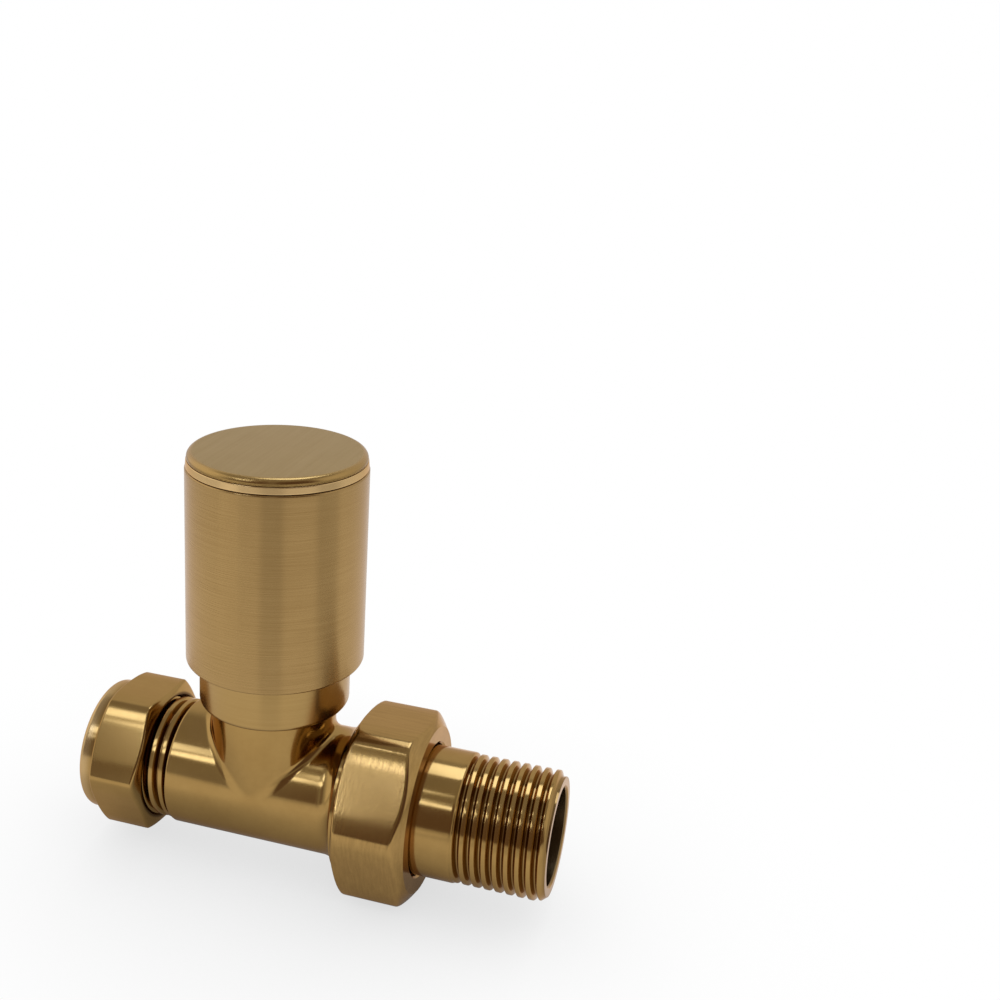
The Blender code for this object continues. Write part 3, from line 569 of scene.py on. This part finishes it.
def bodyAngles():
    # angles round the tube: the upper ones follow even steps round the neck, where the two cross
    steps = body["crossingSteps"]
    upper = [math.acos(body["neck"] / body["tube"] * math.cos(math.pi * i / steps)) for i in range(steps + 1)]
    gap = fullTurn - (upper[-1] - upper[0])
    under = [upper[-1] + gap * i / body["underSteps"] for i in range(1, body["underSteps"])]
    return upper, under


def passage(bm, port, at, inward, angles, ring):
    # end wall of a bore with an off-centre hole that runs on into the body
    lift = Vector((0, 0, port["holeHeight"] * mm))

    def hole(radius, x):
        ring = ringOf(bm, "pipe", radius, x, angles)
        for corner in ring:
            corner.co += lift
        return ring

    stop = at + inward * body["passage"]
    mouth, end, middle = hole(port["hole"], at), hole(port["hole"], stop), hole(0, stop)
    bridge(bm, ring, mouth)
    bridge(bm, mouth, end)
    bridge(bm, end, middle)


def makeBody():
    low, high = reach("valve_body")
    mouth, spigotEnd, tube, neck = low[0], high[0], body["tube"], body["neck"]
    upper, under = bodyAngles()
    angles = upper + under
    bm = bmesh.new()

    # rounded corner between tube and neck, as arcs that touch both; the last point of each arc is on the neck
    def crossing(side):
        arcs = []
        for i in range(len(upper)):
            about = math.pi * i / body["crossingSteps"]
            size = body["filletLow"] + (body["filletTop"] - body["filletLow"]) * math.sin(about)
            size += body["filletTip"] * math.cos(about) ** 12
            out, across = (neck + size) * math.sin(about), (neck + size) * math.cos(about)
            middle = Vector((side * out, across, math.sqrt((tube + size) ** 2 - across ** 2)))
            onTube = -Vector((0, middle.y, middle.z)) / (tube + size)
            onNeck = -Vector((side * math.sin(about), math.cos(about), 0))
            steps = body["filletSteps"]
            arc = [middle + onTube.slerp(onNeck, k / steps) * size for k in range(steps + 1)]
            arcs.append([arc[0] + Vector((side * 0.15, 0, 0))] + arc + [arc[-1] + Vector((0, 0, 0.15))])
        rows = [[bm.verts.new(point * mm) for point in row] for row in zip(*arcs)]
        for low, high in zip(rows, rows[1:]):
            strip(bm, low, high)
        edge = [bm.verts.new(spot("pipe", tube, angle, side * 0.15)) for angle in under]
        middle = [bm.verts.new(spot("pipe", tube, angle, 0)) for angle in under]
        strip(bm, rows[0][-1:] + edge + rows[0][:1], rows[1][-1:] + middle + rows[1][:1])
        return rows[0] + edge, rows[-1]

    (left, leftFoot), (right, rightFoot) = crossing(-1), crossing(1)

    # outer skin on the inlet side: edge of the tube, thread, mouth and socket
    edge = body["inletEnd"]
    rows = [(tube, edge + 0.42), (tube, edge + 0.3), (tube - 0.09, edge + 0.09), (tube - 0.3, edge)]
    rows += [(inlet["root"], edge)]
    rings = lathe(bm, rows, angles, "pipe", closed=False)
    bridge(bm, left, rings[0])
    threadStrip(bm, inletThread, inlet["root"], edge, mouth, angles)
    rows = [(inlet["root"], mouth), (inlet["mouth"], mouth), (inlet["bore"] + 0.6, mouth + inlet["mouthDepth"])]
    rows += [(inlet["bore"], mouth + inlet["mouthDepth"] + 0.1), (inlet["bore"], inlet["boreEnd"])]
    rings = lathe(bm, rows, angles, "pipe", closed=False)
    passage(bm, inlet, inlet["boreEnd"], 1, angles, rings[-1])

    # outer skin on the outlet side: flare, land, thread and bore
    rows = [(tube, body["flareStart"] - 0.5)]
    for i in range(15):
        part = math.pi / 2 * i / 14
        rows.append((tube + (body["shoulder"] - tube) * (1 - math.cos(part)),
                     body["flareStart"] + (body["flareEnd"] - body["flareStart"]) * math.sin(part)))
    rows += [(body["shoulder"], body["land"] - 0.15), (body["shoulder"] - 0.1, body["land"])]
    rows += [(spigot["root"], body["land"])]
    rings = lathe(bm, rows, angles, "pipe", closed=False)
    bridge(bm, right, rings[0])
    threadStrip(bm, spigotThread, spigot["root"], body["land"], spigotEnd, angles)
    rows = [(spigot["root"], spigotEnd), (spigot["bore"] + 0.3, spigotEnd), (spigot["bore"], spigotEnd - 0.3)]
    rows += [(spigot["bore"], spigot["boreEnd"])]
    rings = lathe(bm, rows, angles, "pipe", closed=False)
    passage(bm, spigot, spigot["boreEnd"], -1, angles, rings[-1])

    # neck: straight up from the crossing line, then down the chamber to the seat
    foot = rightFoot + leftFoot[-2:0:-1]
    turns = [math.atan2(v.co.y, v.co.x) for v in foot]
    last, top = foot, body["neckTop"]
    rows = [(neck, top - 0.3), (neck, top - 0.2), (neck - 0.2, top), (body["chamber"], top)]
    rows += [(body["chamber"], body["chamberFloor"]), (body["seatLip"], body["chamberFloor"])]
    rows += [(body["seatLip"], body["seatTop"]), (body["seatBore"], body["seatTop"])]
    rows += [(body["seatBore"], body["seatEnd"]), (0, body["seatEnd"])]
    for radius, height in rows:
        ring = ringOf(bm, "spindle", radius, height, turns)
        bridge(bm, last, ring)
        last = ring

    # the inlet thread valleys get dirt with painted shade
    look = {**polish, "dirtAndShade": (0.10, 0.045, 0.015), "dirtShadeAmount": 0.5, "dirtShadeBelow": inlet["root"] + 0.1,
            "dirtShadeFade": 0.6, "dirtShadeFloor": inlet["root"] - 0.3}
    addPiece("valveBody", bm, "valve_body", "valve", brassFinish("polishedBody", look))


olive = {"bore": 7.65, "endWall": 0.35}


def makeOlive():
    low, high = reach("olive")
    middle = (low[0] + high[0]) / 2
    edge = olive["bore"] + olive["endWall"]
    barrel = []
    for i in range(13):
        share = 2 * i / 12 - 1
        barrel.append((edge + (high[1] - edge) * (1 - share * share), middle + share * (high[0] - low[0]) / 2))
    bm = bmesh.new()
    lathe(bm, barrel + [(olive["bore"], high[0]), (olive["bore"], low[0])], evenAngles(128), "pipe")
    look = {**turnedRaw, "lines": (7000, 160, 160)}
    addPiece("oliveRing", bm, "olive", "olive_body", brassFinish("oliveBrass", look))


compression = {"flats": 23.5, "cornerAt": -3.2, "roll": 3.6, "rollAngle": 15, "cornerSoft": 0.32, "edgeSoft": 0.7,
               "collar": 11.1, "collarLength": 2.5, "collarRound": 0.9, "chamfer": 1.15, "threadTop": 10.56,
               "threadEnd": -25.7, "pocket": 8.75, "wall": 2.7, "hole": 7.65}
compressionThread = {"pitch": 1.814, "depth": -1.0, "rows": 10, "valley": 0.1, "crest": 0.1,
                     "startFade": 0.8, "endFade": 0.8}


def makeCompressionNut():
    low, high = reach("compression_nut")
    end, face, n = low[0], high[0], compression
    corner = n["flats"] / math.sqrt(3) + 0.3
    back = end + n["collarLength"]
    angles = hexAngles(n["cornerAt"])
    shape = [(n["collar"] - 0.25, face)]
    shape += between((n["collar"], face - 0.1), (corner, face - n["chamfer"]), 10)
    shape += between((corner, face - n["chamfer"]), (corner, back + n["chamfer"]), 10)[1:]
    shape += between((corner, back + n["chamfer"]), (n["collar"], back), 10)[1:]
    shape += [(n["collar"], back - 0.15), (n["collar"], end + n["collarRound"] + 0.15)]
    for i in range(9):
        part = math.pi / 2 * i / 8
        shape.append((n["collar"] - n["collarRound"] * (1 - math.cos(part)),
                      end + n["collarRound"] * (1 - math.sin(part))))
    hexagon = hexRadius(n["flats"], n["cornerAt"], n["cornerSoft"], n["roll"], n["rollAngle"])
    rows = hexRows(hexagon, shape, n["edgeSoft"])
    rows = [(n["threadTop"], face)] + rows
    rows += [(n["hole"] + 0.35, end), (n["hole"], end + 0.35), (n["hole"], end + n["wall"])]
    rows += [(n["pocket"], end + n["wall"]), (n["pocket"], n["threadEnd"]), (n["threadTop"], n["threadEnd"])]
    bm = bmesh.new()
    lathe(bm, rows, angles, "pipe", closed=False)
    threadStrip(bm, compressionThread, n["threadTop"], n["threadEnd"], face, angles)
    # near-black painted shade, with some dirt, in the nut's thread and pocket
    look = {**polish, "lines": (300, 1500, 1500), "roughness": 0.14,
            "dirtAndShade": (0.03, 0.013, 0.008), "dirtShadeAmount": 0.85, "dirtShadeBelow": n["threadTop"] + 0.1, "dirtShadeFade": 0.5,
            # a paler, rougher stretch at the collar end
            "dirtShadeFloor": n["pocket"], "pale": (0.50, 0.335, 0.155), "paleRough": 0.06,
            "paleFrom": end + n["collarLength"], "paleTo": end + n["collarRound"]}
    addPiece("compressionNut", bm, "compression_nut", "compression_nut_body", brassFinish("polishedNut", look))


union = {"flats": 29.4, "cornerAt": -6.6, "roll": 5.0, "rollAngle": 13, "cornerSoft": 1.1, "edgeSoft": 0.6,
         "face": 13.7, "faceChamfer": 2.6, "back": 13.2, "dome": 2.7, "threadTop": 12.96, "threadEnd": 23.6,
         "pocket": 11.87, "lip": 1.4, "hole": 10.92}
unionThread = {"pitch": 1.5, "depth": -1.0, "rows": 10, "valley": 0.1, "crest": 0.1, "startFade": 0.8, "endFade": 0.8}


def makeUnionNut():
    low, high = reach("union_nut")
    back, face, n = low[0], high[0], union
    corner = n["flats"] / math.sqrt(3) + 0.5
    angles = hexAngles(n["cornerAt"], 32)
    shape = []
    for i in range(15):
        part = math.pi / 2 * i / 14
        shape.append((n["back"] + (corner - n["back"]) * math.sin(part), back + n["dome"] * (1 - math.cos(part))))
    shape += between(shape[-1], (corner, face - n["faceChamfer"]), 10)[1:]
    shape += between((corner, face - n["faceChamfer"]), (n["face"], face), 14)[1:]
    hexagon = hexRadius(n["flats"], n["cornerAt"], n["cornerSoft"], n["roll"], n["rollAngle"])
    rows = hexRows(hexagon, shape, n["edgeSoft"])
    rows = [(n["threadTop"], back)] + rows
    rows += [(n["hole"] + 0.3, face), (n["hole"], face - 0.3), (n["hole"], face - n["lip"])]
    rows += [(n["pocket"], face - n["lip"]), (n["pocket"], n["threadEnd"]), (n["threadTop"], n["threadEnd"])]
    bm = bmesh.new()
    lathe(bm, rows, angles, "pipe", closed=False)
    threadStrip(bm, unionThread, n["threadTop"], back, n["threadEnd"], angles)
    look = {**brush, "lines": (2400, 300, 300), "topLines": (120, 2000, 120), "roughness": 0.15, "lineRough": 0.10,
            "colour": (0.415, 0.255, 0.088), "shade": (0.325, 0.195, 0.066), "bump": 0.2, "lineShade": 0.8,
            "cloud": 2800, "cloudDepth": 1.1, "anisotropic": 0.0, "rotation": 0.0, "edgeTint": polish["edgeTint"]}
    addPiece("unionNut", bm, "union_nut", "union_nut_body", brassFinish("brushedNut", look))


tail = {"head": 11.57, "headLength": 1.3, "shank": 10.62, "shankEnd": 34.5, "shankChamfer": 0.35, "root": 9.55,
        "bore": 7.9, "endChamfer": 0.35, "sides": 160}
tailThread = {"pitch": 1.814, "depth": 0.9, "rows": 18, "valley": 0.08, "crest": 0.30,
              "startFade": 0.35, "endFade": 1.1, "startLevel": 1.0}
keyLug = {"height": 1.6, "width": 3.0, "length": 8.0, "inset": 4.0, "sunk": 0.6, "angles": (55, 235), "round": 0.4}


def makeTail():
    low, high = reach("union_tail")
    back, end, t = low[0], high[0], tail
    angles = evenAngles(t["sides"])
    rows = [(t["root"], end), (t["bore"] + t["endChamfer"], end), (t["bore"], end - t["endChamfer"])]
    rows += [(t["bore"], end - t["endChamfer"] - 0.2), (t["bore"], back)]
    rows += [(t["head"] - 0.2, back), (t["head"], back + 0.2), (t["head"], back + t["headLength"])]
    rows += [(t["shank"], back + t["headLength"]), (t["shank"], back + t["headLength"] + 0.3)]
    rows += [(t["shank"], t["shankEnd"] - t["shankChamfer"] - 0.2), (t["shank"], t["shankEnd"] - t["shankChamfer"])]
    rows += [(t["shank"] - 0.05, t["shankEnd"] - 0.1), (t["root"] + tailThread["depth"], t["shankEnd"])]
    bm = bmesh.new()
    lathe(bm, rows, angles, "pipe", closed=False)
    threadStrip(bm, tailThread, t["root"], t["shankEnd"], end, angles)
    for angle in keyLug["angles"]:
        addLug(bm, math.radians(angle), end - keyLug["inset"])
    # dirt with painted shade in the thread valleys
    look = {**polish, "dirtAndShade": (0.09, 0.045, 0.02), "dirtShadeAmount": 0.4, "dirtShadeBelow": t["root"], "dirtShadeFade": 0.5,
            # painted shade inside the bore
            "dirtShadeFloor": t["root"] - 0.4, "inner": (0.22, 0.145, 0.07), "innerRough": 0.16,
            "innerBelow": t["bore"] + 0.25}
    addPiece("unionTail", bm, "union_tail", "tail_body", brassFinish("polishedTail", look))


def addLug(bm, angle, front):
    # rounded key block on the wall of the bore
    made = bmesh.ops.create_cube(bm, size=1.0)["verts"]
    tall = keyLug["height"] + keyLug["sunk"]
    size = (keyLug["length"] * mm, tall * mm, keyLug["width"] * mm)
    bmesh.ops.scale(bm, verts=made, vec=size)
    edges = list({e for v in made for e in v.link_edges})
    made = bmesh.ops.bevel(bm, geom=edges, offset=keyLug["round"] * mm, segments=3, affect="EDGES")["verts"]
    middle = tail["bore"] - keyLug["height"] + tall / 2
    bmesh.ops.translate(bm, verts=made, vec=((front - keyLug["length"] / 2) * mm, middle * mm, 0))
    bmesh.ops.rotate(bm, verts=made, matrix=Matrix.Rotation(angle, 3, "X"))


makeSleeve()
makeTrimRing()
makeTopDisc()
makeInsert()
makeCollar()
makeBonnet()
makeGlandNut()
makeSpindle()
makeBody()
makeOlive()
makeCompressionNut()
makeUnionNut()
makeTail()
print("pieces made")

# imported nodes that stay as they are, with a finish of their own
keptNodes = {
    "bonnet_o_ring": softFinish("sealRubber", rubberLook),
    "spindle_o_ring_lower": softFinish("stemRubber", rubberLook),
    "spindle_o_ring_upper": softFinish("glandRubber", rubberLook),
    "seat_washer": softFinish("seatRubber", rubberLook),
    "gland_washer": softFinish("washerPlastic", plasticLook),
    "union_gasket": softFinish("gasketFibre", fibreLook),
    "valve_plug": brassFinish("plugBrass", turnedRaw),
    "washer_screw": brassFinish("screwBrass", turnedRaw),
}
for node, material in keptNodes.items():
    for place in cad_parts[node].material_slots:
        place.material = material
print("finishes set on", len(keptNodes), "packed nodes")


camera = {"position": (76.905, -179.426, 122.417), "heading": 15.685, "tilt": -17.3226, "roll": 3.0, "lens": 46.23,
          "shift": (0.06, -0.06)}


def makeCamera():
    data = bpy.data.cameras.new("camera")
    data.sensor_width, data.lens = 36, camera["lens"]
    data.shift_x, data.shift_y = camera["shift"]
    data.clip_start = 0.005
    seen = bpy.data.objects.new("camera", data)
    turned = Matrix.Rotation(math.radians(camera["heading"]), 4, "Z")
    turned = turned @ Matrix.Rotation(math.radians(90 + camera["tilt"]), 4, "X")
    turned = turned @ Matrix.Rotation(math.radians(camera["roll"]), 4, "Z")
    seen.matrix_world = Matrix.Translation([c * mm for c in camera["position"]]) @ turned
    bpy.context.scene.collection.objects.link(seen)
    bpy.context.scene.camera = seen


studio = {
    "floor": 1.0, "frontWall": 0.50, "backWall": 0.80, "ceiling": 0.42,
    "leftWall": {"side": -98, "from": 58, "full": 34, "light": 1.15},
    "rightWall": {"side": 112, "from": 48, "full": 26, "light": 0.9},
    "darkTint": (1.0, 0.62, 0.42), "panelTint": (1.0, 1.16, 1.45),  # dark corners are warm, soft boxes are cool
    "panels": [  # soft boxes and lamps in front and a wide soft box behind, as the directions they stand in
        {"side": -33, "up": 33.5, "lean": 0, "width": 0.05, "height": 0.06, "soft": 0.03, "light": 0.78},
        {"side": -27, "up": 34.0, "lean": -20, "width": 0.042, "height": 0.064, "soft": 0.015, "light": 4.0},
        {"side": -22.7, "up": 33.6, "lean": 0, "width": 0.011, "height": 0.045, "soft": 0.01, "light": 4.0},
        {"side": -34.5, "up": 44.5, "lean": -62, "width": 0.085, "height": 0.035, "soft": 0.012, "light": 2.4},
        {"side": -36.8, "up": 41.2, "lean": -64, "width": 0.075, "height": 0.02, "soft": 0.012, "light": 4.2},
        {"side": -16.5, "up": 41, "lean": 0, "width": 0.022, "height": 0.03, "soft": 0.025, "light": 3.4},
        {"side": -21.6, "up": 43.8, "lean": 15, "width": 0.020, "height": 0.050, "soft": 0.012, "light": 5.0},
        {"side": -30.5, "up": 59.5, "lean": 0, "width": 0.022, "height": 0.03, "soft": 0.01, "light": 4.5},
        {"side": -176, "up": 70, "lean": 0, "width": 0.21, "height": 0.20, "soft": 0.05, "light": 3.0},
    ],
    "shades": [  # people and stands that take light away, by direction and depth; a negative floor depth instead paints a pool of light on the floor
        {"side": 17, "width": 9, "soft": 9, "depth": 0.1, "floorDepth": 0.23},
        {"side": -4, "width": 12, "soft": 8, "depth": 0.55, "floorDepth": 0.0},
        {"side": 48, "width": 22, "soft": 10, "depth": 0.65, "floorDepth": 0.0},
        {"side": 87, "width": 10, "soft": 10, "depth": 0.0, "floorDepth": 0.24},
        {"side": -33, "width": 4, "soft": 6, "depth": 0.35, "floorDepth": 0.0},
        # painted pool of light on the floor, seen in reflections
        {"side": -36, "width": 7, "soft": 9, "depth": 0.0, "floorDepth": -0.30},
    ],
}


def heading(way):
    # degrees to the right of the front
    return way.maths("ARCTAN2", way.dot((1, 0, 0)), way.dot((0, -1, 0))) * math.degrees(1)


def shaded(turned, light, depth, share=1.0):
    for shade in studio["shades"]:
        inside = abs(turned - shade["side"]).ease(shade["width"] + shade["soft"], shade["width"])
        light = light * (1 - inside * share * shade[depth])
    return light


def makeWorld():
    world = bpy.data.worlds.new("studio")
    bpy.context.scene.world = world
    world.use_nodes = True
    tree = world.node_tree
    wire = Wire(tree)
    way = wire.node("ShaderNodeTexCoord", out="Generated")
    up = way.dot((0, 0, 1))
    turned = heading(way)
    wall = studio["frontWall"]
    for side in (studio["leftWall"], studio["rightWall"]):
        shown = abs(turned - side["side"]).ease(side["from"], side["full"])
        wall = (1 - shown) * wall + shown * side["light"]
    behind = way.dot((0, 1, 0)).ease(0.3, 0.75)
    wall = shaded(turned, wall * (1 - behind) + behind * studio["backWall"], "depth")
    over = up.ease(0.65, 0.85)
    light = wall * (1 - over) + over * studio["ceiling"]
    for panel in studio["panels"]:
        side, rise = math.radians(panel["side"]), math.radians(panel["up"])
        middle = Vector((math.sin(side) * math.cos(rise), -math.cos(side) * math.cos(rise), math.sin(rise)))
        level = Matrix.Rotation(math.radians(panel["lean"]), 3, middle)
        along = level @ Vector((0, 0, 1)).cross(middle).normalized()
        ahead = way.dot(middle)
        width, height = abs(way.dot(along) / ahead), abs(way.dot(middle.cross(along)) / ahead)
        shown = width.ease(panel["width"] + panel["soft"], panel["width"])
        shown = shown * height.ease(panel["height"] + panel["soft"], panel["height"]) * ahead.ease(0.0, 0.1)
        light = light * (1 - shown) + shown * panel["light"]
    ground = up.ease(0.0, -0.08)
    light = light * (1 - ground) + ground * studio["floor"]
    seen = wire.node("ShaderNodeLightPath", out="Is Camera Ray")  # the camera meets plain white
    light = light * (1 - seen) + seen
    background = tree.nodes["Background"]
    tint = light.ease(0.08, 0.5).blend(rgba(studio["darkTint"]), rgba((1.0, 1.0, 1.0)))
    tint = light.ease(1.2, 2.4).blend(tint, rgba(studio["panelTint"]))
    tree.links.new(tint.socket, background.inputs["Color"])
    tree.links.new(light.socket, background.inputs["Strength"])


floor = {"radius": 4000, "albedo": 0.86, "shadowReach": 55, "cameraShadow": 0.34,
         "shadowPatchAt": (-26, -8), "shadowPatchReach": 42, "shadowPatchDepth": 0.22, "farDim": 0.3, "dimFrom": 110, "dimFull": 380}


def makeFloor():
    low = cadBox[0][2] / mm
    bm = bmesh.new()
    lathe(bm, [(0, low), (200, low), (floor["radius"], low)], evenAngles(96), closed=False)
    mesh = bpy.data.meshes.new("floor")
    bm.to_mesh(mesh)
    bm.free()
    sheet = bpy.data.objects.new("floor", mesh)
    bpy.context.scene.collection.objects.link(sheet)

    # white paper: plain to the camera with a soft shadow, shaded by the room in reflections, with a painted shadow
    # patch near the valve and painted darkening far off
    material = bpy.data.materials.new("paperFloor")
    material.use_nodes = True
    tree = material.node_tree
    tree.nodes.clear()
    wire = Wire(tree)
    isCamera = wire.node("ShaderNodeLightPath", out="Is Camera Ray")
    isGlossy = wire.node("ShaderNodeLightPath", out="Is Glossy Ray")
    total = isCamera + isGlossy + wire.node("ShaderNodeLightPath", out="Is Transmission Ray")
    seen = total.maths("MINIMUM", total, 1.0)
    clear = wire.node("ShaderNodeAmbientOcclusion", {"samples": 12}, {"Distance": floor["shadowReach"] * mm}, out=1)
    place = wire.node("ShaderNodeTexCoord", out="Object").stretched((1, 1, 0))
    far = (place.length() / mm).ease(45, 100)
    # a painted shadow patch on the floor to the left, seen only in reflections
    shadowPatch = place.node("ShaderNodeVectorMath", {"operation": "DISTANCE"},
                       {0: place, 1: [c * mm for c in floor["shadowPatchAt"]] + [0]}, out=1) / mm
    shadowPatch = shadowPatch.ease(floor["shadowPatchReach"], floor["shadowPatchReach"] / 4) * floor["shadowPatchDepth"]
    dim = (place.length() / mm).ease(floor["dimFrom"], floor["dimFull"]) * floor["farDim"]
    mirrored = shaded(heading(place), clear * (1 - shadowPatch) * (1 - dim), "floorDepth", far)
    plain = 1 - (1 - clear) * floor["cameraShadow"]
    white = plain * isCamera + mirrored * (1 - isCamera)
    paper = wire.node("ShaderNodeBsdfDiffuse", None, {"Color": rgba((floor["albedo"],) * 3)})
    grey = white.blend(rgba((0.0, 0.0, 0.0)), rgba((1.0, 1.0, 1.0)))
    glow = wire.node("ShaderNodeEmission", None, {"Color": grey})
    shade = wire.node("ShaderNodeMixShader", None, {0: seen, 1: paper, 2: glow})
    output = tree.nodes.new("ShaderNodeOutputMaterial")
    tree.links.new(shade.socket, output.inputs["Surface"])
    mesh.materials.append(material)


makeCamera()
makeWorld()
makeFloor()
bpy.context.scene.view_settings.view_transform = "Standard"
print("camera, studio light and floor set")
